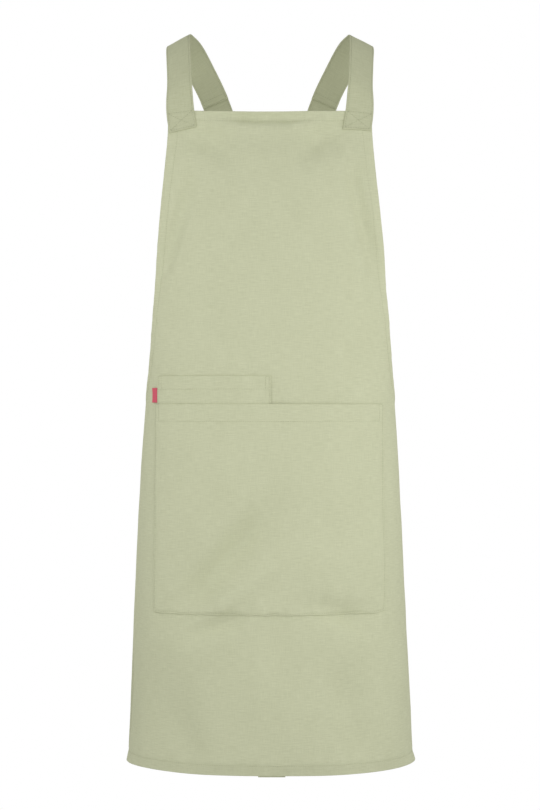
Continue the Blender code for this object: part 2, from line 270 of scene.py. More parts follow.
def cloth(name, columns, rows, place, finish, outside, keep=None):
    """A cloth wall: a grid whose points are placed by a function, given its thickness by Solidify.

    place(column, row) gives a point and the wall there. The map "cloth" holds metres along the
    threads, so that the weave follows the surface.
    """
    mesh = bpy.data.meshes.new(name)
    grid = bmesh.new()
    bmesh.ops.create_grid(grid, x_segments=columns, y_segments=rows, size=1.0)
    grid.verts.ensure_lookup_table()
    weights = grid.verts.layers.deform.verify()
    threads = grid.loops.layers.uv.new("cloth")
    cut_away = []
    for index, vertex in enumerate(grid.verts):
        column, row = index % (columns + 1), index // (columns + 1)
        if keep is not None and not keep(column, row):
            cut_away.append(vertex)
            continue
        vertex.co, wall = place(column, row)
        vertex[weights][0] = wall / HEM_WALL
    wide = columns + 1
    middle = columns // 2
    gone = set(cut_away)
    weft = {}
    warp = 0.0
    for row in range(rows + 1):
        line = grid.verts[row * wide:row * wide + wide]
        if row:
            warp += (line[middle].co - grid.verts[(row - 1) * wide + middle].co).length
        for step in (1, -1):
            across = 0.0
            column = middle
            weft[line[column]] = (0.0, warp)
            while 0 <= column + step < wide and line[column + step] not in gone:
                across += step * (line[column + step].co - line[column].co).length
                column += step
                weft[line[column]] = (across, warp)
    for face in grid.faces:
        for loop in face.loops:
            loop[threads].uv = weft.get(loop.vert, (0.0, 0.0))
    bmesh.ops.delete(grid, geom=cut_away, context="VERTS")
    grid.to_mesh(mesh)
    grid.free()
    mesh.shade_smooth()
    piece = bpy.data.objects.new(name, mesh)
    bpy.context.scene.collection.objects.link(piece)
    piece.vertex_groups.new(name="wall")
    wall_modifier = piece.modifiers.new("Wall", "SOLIDIFY")
    wall_modifier.offset = 1.0 if outside else -1.0
    wall_modifier.thickness = HEM_WALL
    wall_modifier.vertex_group = "wall"
    wall_modifier.thickness_vertex_group = 0.0
    piece.data.materials.append(finish)
    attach(piece, "root")
    return piece


def linear(code):
    """An sRGB hex colour as the linear values that a shader takes."""
    shares = [int(code[place:place + 2], 16) / 255 for place in (1, 3, 5)]
    return [s / 12.92 if s <= 0.04045 else ((s + 0.055) / 1.055) ** 2.4 for s in shares] + [1.0]


def node(tree, kind, settings=None, **sockets):
    """Add a node with its settings. A socket is named, or numbered as i0, i1 and so on, and is
    linked where it is given another node's output."""
    new = tree.nodes.new(kind)
    for key, value in (settings or {}).items():
        setattr(new, key, value)
    for key, value in sockets.items():
        numbered = key[0] == "i" and key[1:].isdigit()
        socket = new.inputs[int(key[1:]) if numbered else key.replace("_", " ")]
        if isinstance(value, bpy.types.NodeSocket):
            tree.links.new(value, socket)
        else:
            socket.default_value = value
    return new


def woven_cotton(name, thread, shade, slub=0.35):
    """Light cotton and linen cloth in plain weave, dyed and washed.

    The eye gets a dry, matt face with uneven threads both ways. The real threads lie about
    0.5 mm apart, too fine to show, so the weave is drawn 1.2 mm apart with slubs 15 mm long.
    """
    material = bpy.data.materials.new(name)
    material.use_nodes = True
    tree = material.node_tree
    shader = tree.nodes["Principled BSDF"]
    cloth_map = node(tree, "ShaderNodeUVMap", {"uv_map": "cloth"})
    spacing = 0.0012
    slub_length = 0.0150
    slub_width = 0.0011
    warp_share = 0.6
    mottle_share = 0.20
    weave_share = 0.08
    relief = 0.0004
    lines = []
    for scale in ((1 / slub_width, 1 / slub_length, 1.0), (1 / slub_length, 1 / slub_width, 1.0)):
        place = node(tree, "ShaderNodeMapping", i0=cloth_map.outputs[0], Scale=scale)
        lines.append(node(
            tree, "ShaderNodeTexNoise", {"noise_dimensions": "2D"},
            Vector=place.outputs[0], Scale=1.0, Detail=1.5, Roughness=0.6))
    both = node(tree, "ShaderNodeMath", {"operation": "MULTIPLY_ADD"},
                i0=lines[0].outputs[0], i1=warp_share, i2=lines[1].outputs[0])
    place = node(tree, "ShaderNodeMapping", i0=cloth_map.outputs[0], Scale=(24.0, 16.0, 1.0))
    mottle = node(tree, "ShaderNodeTexNoise", {"noise_dimensions": "2D"},
                  Vector=place.outputs[0], Scale=1.0, Detail=1.0, Roughness=0.5)
    mixed = node(tree, "ShaderNodeMath", {"operation": "MULTIPLY_ADD"},
                 i0=mottle.outputs[0], i1=mottle_share, i2=both.outputs[0])
    tone = node(tree, "ShaderNodeMapRange", None, Value=mixed.outputs[0], i1=0.52, i2=1.28)
    colour = node(tree, "ShaderNodeMix", {"data_type": "RGBA"}, i0=tone.outputs[0])
    colour.inputs[6].default_value = linear(shade)
    colour.inputs[7].default_value = linear(thread)
    tree.links.new(colour.outputs[2], shader.inputs["Base Color"])
    split = node(tree, "ShaderNodeSeparateXYZ", None, i0=cloth_map.outputs[0])
    waves = []
    for way in (0, 1):
        turns = node(tree, "ShaderNodeMath", {"operation": "MULTIPLY"},
                     i0=split.outputs[way], i1=2 * math.pi / spacing)
        waves.append(node(tree, "ShaderNodeMath", {"operation": "SINE"}, i0=turns.outputs[0]))
    weave = node(tree, "ShaderNodeMath", {"operation": "MULTIPLY"},
                 i0=waves[0].outputs[0], i1=waves[1].outputs[0])
    height = node(tree, "ShaderNodeMath", {"operation": "MULTIPLY_ADD"},
                  i0=weave.outputs[0], i1=weave_share, i2=both.outputs[0])
    bump = node(tree, "ShaderNodeBump", None, Strength=slub, Distance=relief, Height=height.outputs[0])
    tree.links.new(bump.outputs[0], shader.inputs["Normal"])
    shader.inputs["Roughness"].default_value = 0.88
    shader.inputs["Specular IOR Level"].default_value = 0.25
    shader.inputs["Sheen Weight"].default_value = 0.22
    shader.inputs["Sheen Roughness"].default_value = 0.5
    shader.inputs["Sheen Tint"].default_value = linear(thread)
    return material


SAGE = woven_cotton("woven_cotton_sage", "#CBCEAF", "#BDC0A0")

FRONT_COLUMNS = 54
BACK_COLUMNS = 26
SKIRT_ROWS = 128
BIB_ROWS = 98


def hem_lines(width):
    """Lines of a hem from its fold inward; the last but one is the stitches, the last open cloth."""
    return (*FOLDED_EDGE, 0.4 * width, 0.72 * width, width - HEM_STEP, width, width + HEM_STEP)


side_lines = hem_lines(SIDE_HEM)
lower_lines = hem_lines(LOWER_HEM)
bib_lines = hem_lines(BIB_HEM)
hem_count = len(side_lines) - 1
panel_columns = [(share / FRONT_COLUMNS, 0.0, None) for share in range(FRONT_COLUMNS + 1)]
panel_columns += [(1.0, 0.0, inset) for inset in side_lines[-2::-1]]
panel_columns += [(1.0, share / BACK_COLUMNS, None) for share in range(1, BACK_COLUMNS + 1)]
panel_columns += [(1.0, 1.0, inset) for inset in side_lines[-2::-1]]
last_front = FRONT_COLUMNS + hem_count
half_columns = len(panel_columns) - 1
skirt_last = 2 * hem_count + SKIRT_ROWS
panel_rows = skirt_last + BIB_ROWS + hem_count
quarter = math.pi / 2
panel_places = {}


GATHER = 0.0010
GATHER_PITCH = 0.0085
GATHER_LENGTH = 0.035
GATHER_REACH = 0.012
STITCH_DENT = 0.00035
STITCH_DENT_REACH = 0.0014


def pucker(point, run_down, near):
    """Small gathers beside a row of stitches, which runs across or down the cloth."""
    across, down = (GATHER_LENGTH, GATHER_PITCH) if run_down else (GATHER_PITCH, GATHER_LENGTH)
    gather = noise.noise(Vector((point.x / across, point.y / across, point.z / down + 7.0)))
    dent = STITCH_DENT * math.exp(-(near / STITCH_DENT_REACH) ** 2)
    return GATHER * gather * math.exp(-near / GATHER_REACH) - dent


def back_edge(height):
    """Angle of the open back edge, straight from the back corner to the hem."""
    down = (-BACK_CORNER_DROP - height) / (-BACK_CORNER_DROP - LOWER_EDGE)
    across = BACK_CORNER_HALF + (BACK_HEM_HALF - BACK_CORNER_HALF) * down
    return math.pi - math.atan2(across, depth_at(across, height, 1))


SAG = 0.0019
SAG_REACH = 0.10
CUP = 0.0048
CUP_REACH = 0.018
FLICK = {-1.0: 0.0024, 1.0: 0.0034}
FLICK_MIDDLE = math.radians(86)
FLICK_WIDTH = math.radians(15)


def lower_sag(across, height):
    """How far the middle of the lower hem hangs down, a little more on the wearer's left."""
    deep = SAG + 0.006 * max(across, 0.0) - 0.03 * across ** 2
    return deep * ease(1.0 - (height - LOWER_EDGE) / SAG_REACH)


def cup(height):
    """How far the lower hem leans in towards the body."""
    return CUP * ease(1.0 - (height - LOWER_EDGE) / CUP_REACH)


def panel_place(column, row):
    index = abs(column - half_columns)
    front, back, inset = panel_columns[index]
    hand = 1.0 if column >= half_columns else -1.0
    on_back = index > last_front
    top = -WAIST_DROP
    if on_back:
        top -= (BACK_CORNER_DROP - WAIST_DROP) * smooth(ARMHOLE_BACK, 1, back)
    if row < hem_count:
        height = LOWER_EDGE + lower_lines[row]
    elif row <= skirt_last - hem_count:
        low = LOWER_EDGE + lower_lines[-1]
        height = low + (top - side_lines[-1] - low) * (row - hem_count) / SKIRT_ROWS
    elif row <= skirt_last:
        height = top - side_lines[skirt_last - row]
    elif row <= panel_rows - hem_count:
        high = -BIB_DROP - bib_lines[-1]
        height = -WAIST_DROP + (high + WAIST_DROP) * (row - skirt_last) / BIB_ROWS
    else:
        height = -BIB_DROP - bib_lines[panel_rows - row]
    edge = quarter
    if row > skirt_last:
        corner = math.atan2(BIB_WIDTH / 2, -depth_at(BIB_WIDTH / 2, -BIB_DROP, -1))
        down = (-BIB_DROP - height) / (WAIST_DROP - BIB_DROP)
        edge = corner + (quarter - corner) * smooth(ARMHOLE_FRONT, 1, down)
    if on_back:
        edge = back_edge(height)
    reach = on_form(edge, height).xy.length
    if inset is not None:
        turn = edge - inset / reach
    elif on_back:
        turn = quarter + (edge - side_lines[-1] / reach - quarter) * back
    else:
        turn = (edge - side_lines[-1] / reach) * front
    point = on_form(hand * turn, height)
    side = -1 if turn < quarter else 1
    normal = outward(point, side)
    # Distance from each turned edge, the width of its hem, and whether it runs down the cloth
    edges = [(height - LOWER_EDGE, LOWER_HEM, False)]
    if row > skirt_last:
        edges.append((-BIB_DROP - height, BIB_HEM, False))
    if on_back or row >= skirt_last:
        edges.append(((edge - turn) * reach, SIDE_HEM, True))
    if index >= last_front and row <= skirt_last:
        edges.append((top - height, SIDE_HEM, False))
    stand = drape(point, side)
    wall = CLOTH
    for distance, hem, run_down in edges:
        stand += pucker(point, run_down, abs(distance - hem))
        if distance < hem + 0.0001:
            wall = HEM_WALL
    nearest = min(distance for distance, hem, run_down in edges)
    rolled = roll(max(nearest, 0.0), wall)
    stand -= (wall - rolled) / 2
    # The lower hem turns out a little where it passes round the sides
    round_side = math.exp(-((turn - FLICK_MIDDLE) / FLICK_WIDTH) ** 2)
    stand += FLICK[hand] * round_side * ease(1.0 - (height - LOWER_EDGE) / LOWER_HEM)
    # Elsewhere it cups in towards the body
    stand -= cup(height) * (1.0 - round_side)
    dip = BIB_DIP * (1.0 - (turn / edge) ** 2) * ease(1.0 + (height + BIB_DROP) / BIB_DIP_REACH)
    if side < 0:
        dip += lower_sag(point.x, height) * ease((quarter - turn) / 0.9)
    point += normal * stand - Vector((0.0, 0.0, dip))
    panel_places[column, row] = (point.copy(), normal, wall)
    return point, rolled


def panel_keep(column, row):
    """The back columns end at the armhole, so nothing of them is left beside the bib."""
    return abs(column - half_columns) <= last_front or row <= skirt_last


panel = cloth("apron_panel_cloth", 2 * half_columns, panel_rows, panel_place, SAGE, False, panel_keep)
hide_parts("apron_panel")

# Panel stitching. Spun polyester thread dyed to match, about eight stitches to 25 mm, one row
# along every turned edge. Each stitch shows on both faces of the cloth.
STITCH_PITCH = 0.0032
STITCH_LENGTH = 0.0026
THREAD_WIDE = 0.00055
THREAD_HIGH = 0.00045
THREAD_LIFT = 0.0001
TWIST_LENGTH = 0.0004
TACK_OUT = 0.066


def spun_thread(name, code):
    """Spun polyester sewing thread, twisted: a slight gloss that breaks up along each stitch."""
    material = bpy.data.materials.new(name)
    material.use_nodes = True
    tree = material.node_tree
    shader = tree.nodes["Principled BSDF"]
    shader.inputs["Base Color"].default_value = linear(code)
    shader.inputs["Roughness"].default_value = 0.55
    shader.inputs["Sheen Weight"].default_value = 0.10
    place = node(tree, "ShaderNodeTexCoord")
    twist = node(tree, "ShaderNodeTexNoise", None,
                 Vector=place.outputs["Object"], Scale=1 / TWIST_LENGTH, Detail=1.0)
    bump = node(tree, "ShaderNodeBump", None, Strength=0.4, Distance=0.0002, Height=twist.outputs[0])
    tree.links.new(bump.outputs[0], shader.inputs["Normal"])
    return material


THREAD = spun_thread("spun_polyester_thread", "#B0B391")
# The straps' stitches take a darker copy of the same thread: the extra darkness is painted shade along
# their rows and edges.
THREAD_SHADED = spun_thread("spun_polyester_thread_painted_shade", "#9DA081")


def sew(name, runs, pitch=STITCH_PITCH, length=STITCH_LENGTH, thread=THREAD):
    """Rows of stitches. Each run is a list of points along it with the direction each faces."""
    stitches = bmesh.new()
    for run in runs:
        lengths = [0.0]
        for (point, up), (after, up_after) in zip(run, run[1:]):
            lengths.append(lengths[-1] + (after - point).length)
        count = max(1, int(lengths[-1] / pitch))
        spacing = lengths[-1] / count
        index = 0
        for stitch in range(count):
            at = (stitch + 0.5) * spacing
            while index < len(run) - 2 and lengths[index + 1] < at:
                index += 1
            span = max(lengths[index + 1] - lengths[index], 1e-9)
            share = (at - lengths[index]) / span
            centre = run[index][0].lerp(run[index + 1][0], share)
            up = run[index][1].lerp(run[index + 1][1], share).normalized()
            along = (run[index + 1][0] - run[index][0]).normalized()
            across = up.cross(along).normalized()
            along = across.cross(up)
            bead = Matrix((
                (along * (length * spacing / pitch) / 2).to_4d(),
                (across * THREAD_WIDE / 2).to_4d(),
                (up * THREAD_HIGH / 2).to_4d(),
                centre.to_4d(),
            )).transposed()
            bead[3] = (0.0, 0.0, 0.0, 1.0)
            bmesh.ops.create_icosphere(stitches, subdivisions=1, radius=1.0, matrix=bead)
    mesh = bpy.data.meshes.new(name)
    stitches.to_mesh(mesh)
    stitches.free()
    mesh.shade_smooth()
    piece = bpy.data.objects.new(name, mesh)
    bpy.context.scene.collection.objects.link(piece)
    piece.data.materials.append(thread)
    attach(piece, "root")
    return piece


def both_faces(run):
    """A run of stitches on the outside and the same run on the body side."""
    out = [(point + up * THREAD_LIFT, up) for point, up, wall in run]
    back = [(point - up * (wall + THREAD_LIFT), -up) for point, up, wall in run]
    return [out, back]


stitch_back = half_columns - hem_count + 1
stitch_rows = {
    "lower": hem_count - 1,
    "top": skirt_last - hem_count + 1,
    "bib": panel_rows - hem_count + 1,
}
front_line = FRONT_COLUMNS + 1
runs = []
for hand in (-1, 1):
    armhole = [panel_places[half_columns + hand * front_line, row]
               for row in range(stitch_rows["bib"], skirt_last - 1, -1)]
    armhole += [panel_places[half_columns + hand * index, stitch_rows["top"]]
                for index in range(last_front, stitch_back + 1)]
    edge_down = [panel_places[half_columns + hand * stitch_back, row]
                 for row in range(stitch_rows["top"], stitch_rows["lower"] - 1, -1)]
    runs += both_faces(armhole) + both_faces(edge_down)
runs += both_faces([panel_places[column, stitch_rows["lower"]]
                    for column in range(half_columns - stitch_back, half_columns + stitch_back + 1)])
runs += both_faces([panel_places[column, stitch_rows["bib"]]
                    for column in range(half_columns - front_line, half_columns + front_line + 1)])
tack = half_columns + round(TACK_OUT / BIB_WIDTH * 2 * FRONT_COLUMNS)
runs.append(both_faces([panel_places[tack, row] for row in range(stitch_rows["bib"], panel_rows)])[0])
panel_stitches = sew("panel_stitches", runs)

# Patch pockets. Cut from the same cloth, their sides and lower edges turned under and edge-stitched
# to the panel, their mouths hemmed and boxed with stitches at the corners. The large one lies over
# the lower part of the small one.
POCKET_RISE = 0.014
EDGE_STITCH = 0.0022
BOX_WIDTH = 0.0052
POCKET_PITCH = 0.0026
RUN_STEP = 0.004
SEAM_DENT = 0.00020
SEAM_DENT_REACH = 0.0012
POCKET_WIDTH = 0.3188
POCKET_CENTRE = -0.0014
POCKET_DROP = 0.5163
POCKET_HEIGHT = 0.2888
POCKET_HEM = 0.024
POCKET_WALL = 0.0009
POCKET_HEM_WALL = 0.0012
POCKET_LIFT = 0.0008
# How soon the gathers rise beside the seam, and how soon they die away below and at the sides
GATHER_RISE = 0.003
GATHER_FADE = 0.014
SIDE_GATHER_FADE = 0.010
POCKET_BAGS = (
    # middle, half width, how much more
    (-0.064, 0.034, 0.9),
    (0.094, 0.020, 1.0),
)
SMALL_INSET = 0.0035
SMALL_WIDTH = 0.1585
SMALL_DROP = 0.4773
SMALL_HEIGHT = 0.150
SMALL_HEM = 0.0185
SMALL_LIFT = 0.0002
OVER_LIFT = 0.0013
OVER_OUTER = 0.004
OVER_INNER = 0.050
OVER_BELOW = 0.070
pocket_left = POCKET_CENTRE - POCKET_WIDTH / 2
small_left = pocket_left + SMALL_INSET


def rise(distance, length):
    """How far cloth has left the panel at a distance from the seam that holds it down."""
    return 1.0 - math.exp(-max(distance, 0.0) / length)


def spaced(start, end, pitch):
    """Values from start to end at about a pitch, the start left out."""
    count = max(1, round(abs(end - start) / pitch))
    return [start + (end - start) * step / count for step in range(1, count + 1)]


def over_small(x, z):
    """How far the large pocket has to stand off to clear the small one behind it."""
    within = ease((x - small_left + OVER_OUTER) / OVER_OUTER)
    within *= ease((small_left + SMALL_WIDTH + OVER_INNER - x) / OVER_INNER)
    return OVER_LIFT * within * ease((z + SMALL_DROP + SMALL_HEIGHT + OVER_BELOW) / OVER_BELOW)


def patch_pocket(name, node_name, left, top, size, hem, lift, gather, corner_rise, over=None):
    """A patch pocket and its stitches. gather is how far its lower edge bags out above the seam."""
    width, height = size
    right, bottom = left + width, top - height
    edge = FOLDED_EDGE + [EDGE_STITCH, 0.0035, 0.0055, 0.008]
    across = [left + inset for inset in edge]
    across += spaced(across[-1], right - edge[-1], POCKET_PITCH)
    across += [right - inset for inset in edge[-2::-1]]
    up = [bottom + inset for inset in edge]
    up += spaced(up[-1], top - hem - HEM_STEP, POCKET_PITCH)
    up += [top - inset for inset in hem_lines(hem)[-2::-1]]

    def lie(x, z):
        """Outer face of the pocket at a place, the way it faces and its wall. Hems turn behind."""
        beside = min(x - left, right - x)
        stand = lift * (0.7 + 1.6 * noise.noise(Vector((x / 0.055, 4.0, z / 0.055))))
        stand *= rise(x - left, POCKET_RISE) * rise(right - x, POCKET_RISE)
        stand *= rise(z - bottom, POCKET_RISE)
        if over:
            stand += over(x, z)
        above = max(z - bottom - EDGE_STITCH, 0.0)
        bag = 0.25 + noise.noise(Vector((x / 0.0135, 3.0, z / 0.060)))
        bag += sum(more * math.exp(-((x - middle) / wide) ** 2) for middle, wide, more in POCKET_BAGS)
        stand += gather * max(bag, 0.0) * rise(above, GATHER_RISE) * math.exp(-above / GATHER_FADE)
        bag = 0.30 + noise.noise(Vector((x / 0.050, 9.0, z / 0.015)))
        near = max(beside - EDGE_STITCH, 0.0)
        stand += 0.4 * gather * max(bag, 0.0) * rise(near, GATHER_RISE) * math.exp(-near / SIDE_GATHER_FADE)
        wall = POCKET_HEM_WALL if top - z < hem + 0.0001 else POCKET_WALL
        stand += POCKET_WALL + (POCKET_HEM_WALL - POCKET_WALL) * ease(1.0 - (top - z - hem) / 0.045)
        dent = 0.5 * math.exp(-((top - z - hem) / STITCH_DENT_REACH) ** 2)
        dent += math.exp(-((z - bottom - EDGE_STITCH) / SEAM_DENT_REACH) ** 2)
        dent += math.exp(-((beside - EDGE_STITCH) / SEAM_DENT_REACH) ** 2)
        edge_down = ease(1.0 - (z - bottom) / 0.030)
        low = 0.0009 * noise.noise(Vector((x / 0.0120, 5.0, 0.0))) * edge_down
        low += corner_rise * ease(1.0 - (right - x) / 0.014) * edge_down
        point, normal = settle(x, z, -1, GAP + stand - SEAM_DENT * min(dent, 1.0))
        point.z += low
        return point, normal, wall

    def place(column, row):
        x, z = across[column], up[row]
        point, normal, wall = lie(x, z)
        nearest = min(x - left, right - x, z - bottom, top - z)
        rolled = roll(nearest, wall)
        return point - normal * (wall - rolled) / 2, rolled

    def seam(x0, z0, x1, z1):
        steps = max(2, int(math.hypot(x1 - x0, z1 - z0) / RUN_STEP))
        outer, inner = [], []
        for step in range(steps + 1):
            x, z = x0 + (x1 - x0) * step / steps, z0 + (z1 - z0) * step / steps
            point, normal, wall = lie(x, z)
            outer.append((point + normal * THREAD_LIFT, normal))
            behind, normal = settle(x, z, -1, -CLOTH - THREAD_LIFT)
            inner.append((behind, -normal))
        return outer, inner

    piece = cloth(name, len(across) - 1, len(up) - 1, place, SAGE, False)
    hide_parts(node_name)
    x0, x1 = left + EDGE_STITCH, right - EDGE_STITCH
    z0, z1 = bottom + EDGE_STITCH, top - 0.0012
    runs = []
    for line in ((x0, z1, x0, z0), (x0, z0, x1, z0), (x1, z0, x1, z1)):
        runs += seam(*line)
    runs.append(seam(x0, top - hem, x1, top - hem)[0])
    for near, far in ((x0, x0 + BOX_WIDTH), (x1, x1 - BOX_WIDTH)):
        runs += seam(far, z1, far, top - hem)
        runs += seam(near, z1, far, z1)
    stitches = sew(name + "_stitches", runs)
    return piece


small_pocket = patch_pocket(
    "small_pocket_cloth", "small_pocket", small_left, -SMALL_DROP, (SMALL_WIDTH, SMALL_HEIGHT),
    SMALL_HEM, SMALL_LIFT, 0.0004, 0.0)
large_pocket = patch_pocket(
    "large_pocket_cloth", "large_pocket", pocket_left, -POCKET_DROP, (POCKET_WIDTH, POCKET_HEIGHT),
    POCKET_HEM, POCKET_LIFT, 0.0030, 0.0030, over_small)

# Side label. A narrow red woven ribbon folded into a loop, its ends caught in the small pocket's
# outer seam. It lies against the panel and is left plain.
LABEL_REACH = 0.0072
LABEL_HEIGHT = 0.0204
LABEL_DROP = 0.4939
LABEL_WALL = 0.0010
RIBBON = 0.00038


def woven_ribbon(name, code, shade):
    """Polyester satin ribbon, woven narrow: fine ribs across it and a soft gloss."""
    material = bpy.data.materials.new(name)
    material.use_nodes = True
    tree = material.node_tree
    shader = tree.nodes["Principled BSDF"]
    cloth_map = node(tree, "ShaderNodeUVMap", {"uv_map": "cloth"})
    rib_length = 0.0012
    rib_width = 0.0003
    place = node(tree, "ShaderNodeMapping", None,
                 i0=cloth_map.outputs[0], Scale=(1 / rib_length, 1 / rib_width, 1.0))
    ribs = node(tree, "ShaderNodeTexNoise", {"noise_dimensions": "2D"},
                Vector=place.outputs[0], Scale=1.0, Detail=2.0)
    colour = node(tree, "ShaderNodeMix", {"data_type": "RGBA"}, i0=ribs.outputs[0])
    colour.inputs[6].default_value = linear(shade)
    colour.inputs[7].default_value = linear(code)
    tree.links.new(colour.outputs[2], shader.inputs["Base Color"])
    bump = node(tree, "ShaderNodeBump", None, Strength=0.5, Distance=0.0002, Height=ribs.outputs[0])
    tree.links.new(bump.outputs[0], shader.inputs["Normal"])
    shader.inputs["Roughness"].default_value = 0.5
    shader.inputs["Sheen Weight"].default_value = 0.15
    return material


RED_SATIN = woven_ribbon("woven_satin_red", "#E0566C", "#BE3A50")
LABEL_LAYER = (0.0, 0.12, 0.3, 0.5, 0.7, 0.85, 0.94)
LABEL_FOLD = [(0.985, 0.12), (1.0, 0.35), (1.0, 0.65), (0.985, 0.88)]
LABEL_CURL = 0.0006
LABEL_ROWS = 24
label_columns = [(out, 0.0) for out in LABEL_LAYER] + LABEL_FOLD
label_columns += [(out, 1.0) for out in LABEL_LAYER[::-1]]


def label_place(column, row):
    """The loop seen from its lower end: out along the under layer, round the fold and back."""
    out, up = label_columns[column]
    x = small_left - GAP - LABEL_REACH * out
    z = -LABEL_DROP - LABEL_HEIGHT + LABEL_HEIGHT * row / LABEL_ROWS
    curl = LABEL_CURL * out ** 2 * (2.0 * row / LABEL_ROWS - 1.0) ** 2
    stand = GAP + RIBBON / 2 + (LABEL_WALL - RIBBON) * up + curl
    point, normal = settle(x, z, -1, stand)
    return point, RIBBON


label = cloth("side_label_ribbon", len(label_columns) - 1, LABEL_ROWS, label_place, RED_SATIN, False)
label.modifiers["Wall"].offset = 0.0
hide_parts("side_label")

# Straps. Each is a length of the cloth folded to 40 mm and pressed flat, joined behind the shoulder
# by a lapped seam. The ends are sewn to the bib and to the opposite back corner with a boxed cross.
STRAP_WALL = 0.0017
STRAP_WIDTH = 0.040
SHOULDER_HALF = 0.1310
SHOULDER_SLOPE = 23.0
FOOT_LENGTH = 0.0272
FOOT_OUT = 0.1215
EDGE_OUT = 0.1242
SEAM_DROP = 0.0692
SEAM_OUT = 0.0815
SEAM_BACK = 0.086
SEAM_LAP = 0.012
SEAM_FACE = (0.22, 0.93, 0.28)
CORNER_MARGIN = 0.004
FREE_START = 0.004
FREE_REACH = 0.045
CROSS_REACH = 1.45
OVER_HAND = -1
BACK_STATIONS = 8
# Rows of stitches: in from the sides, and how the cloth is drawn in at the edge, the side rows and
# the boxed cross
STRAP_ROW_IN = 0.0028
STRAP_EDGE_ROW = 0.0026
EDGE_RIPPLE = 0.00025
ROW_DENT = 0.00030
BOX_DENT = 0.00032
BOX_DENT_REACH = 0.0013
STRAP_WAVE = 0.0009
LAP_RISE = 0.0020
FINE_PITCH = 0.0014
COARSE_PITCH = 0.0030
FOOT_TURN = {-1: 6.0, 1: 3.0}
ARCH = (
    # out, depth, height, turn, lean
    (0.958, -0.800, -0.681, 28.0, 8.0),
    (0.976, -0.560, -0.269, 31.0, 38.0),
    (0.988, -0.280, -0.045, 29.0, 68.0),
    (0.965, 0.030, 0.000, SHOULDER_SLOPE, 94.0),
    (0.880, 0.330, -0.080, 22.0, 122.0),
    (0.765, 0.590, -0.305, 20.0, 148.0),
)
# The straps take a darker copy of the cloth's colours, which is painted shade.
SAGE_STRAP_SHADED = woven_cotton("woven_cotton_sage_painted_shade", "#C0C3A4", "#B2B595")


def proud(across, height, side, stand):
    """Point that stands off the plain form by a distance, and the direction it faces."""
    here = Vector((across, depth_at(across, height, side), height))
    normal = outward(here, side)
    return here + normal * stand, normal


def strap_stations(hand):
    """Stations of a strap from its foot on the bib to the opposite back corner: length run so far,
    centre and facing direction. Also how far along the bib's edge and the seam lie."""
    places = [proud(hand * FOOT_OUT, -BIB_DROP - FOOT_LENGTH, -1, GAP),
              proud(hand * EDGE_OUT, -BIB_DROP, -1, GAP)]
    for out, depth, height, turn, lean in ARCH:
        reach = BIB_FORM[1] if depth < 0 else BIB_FORM[2]
        turn, lean = math.radians(turn), math.radians(lean)
        face = Vector((
            hand * math.sin(turn), -math.cos(turn) * math.cos(lean), math.cos(turn) * math.sin(lean)))
        places.append((Vector((hand * out * SHOULDER_HALF, depth * reach, height * BIB_DROP)), face))
    seam = Vector((hand * SEAM_OUT, SEAM_BACK, -SEAM_DROP))
    face = Vector(SEAM_FACE)
    face.x *= hand
    places.append((seam, face.normalized()))
    seam_index = len(places) - 1
    corner = Vector((-hand * (BACK_CORNER_HALF + CORNER_MARGIN + STRAP_WIDTH / 2), 0.0,
                     -BACK_CORNER_DROP - FOOT_LENGTH))
    for step in range(1, BACK_STATIONS + 1):
        share = step / BACK_STATIONS
        x = seam.x + (corner.x - seam.x) * share
        z = seam.z + (corner.z - seam.z) * share
        places.append(proud(x, z, 1, GAP))
    stations = []
    along = 0.0
    before = places[0][0]
    for centre, face in places:
        along += (centre - before).length
        before = centre
        stations.append((along, *centre, *face))
    return stations, stations[1][0], stations[seam_index][0]


def strap_frame(stations, at):
    """Centre, direction across and facing direction of a strap at a length along it."""
    step = 0.001
    end = stations[-1][0]
    near, far = (at, at + step) if at + step <= end else (at - step, at)
    ends = [Vector([smooth(stations, column, place) for column in (1, 2, 3)]) for place in (near, far)]
    centre = ends[0] if near == at else ends[1]
    face = Vector([smooth(stations, column, at) for column in (4, 5, 6)]).normalized()
    return centre, (ends[1] - ends[0]).cross(face).normalized(), face


def beside_line(at, out, at0, out0, at1, out1):
    """Distance of a place on a strap from a row of stitches."""
    run_at, run_out = at1 - at0, out1 - out0
    share = ((at - at0) * run_at + (out - out0) * run_out) / (run_at ** 2 + run_out ** 2)
    share = min(max(share, 0.0), 1.0)
    return math.hypot(at - at0 - run_at * share, out - out0 - run_out * share)


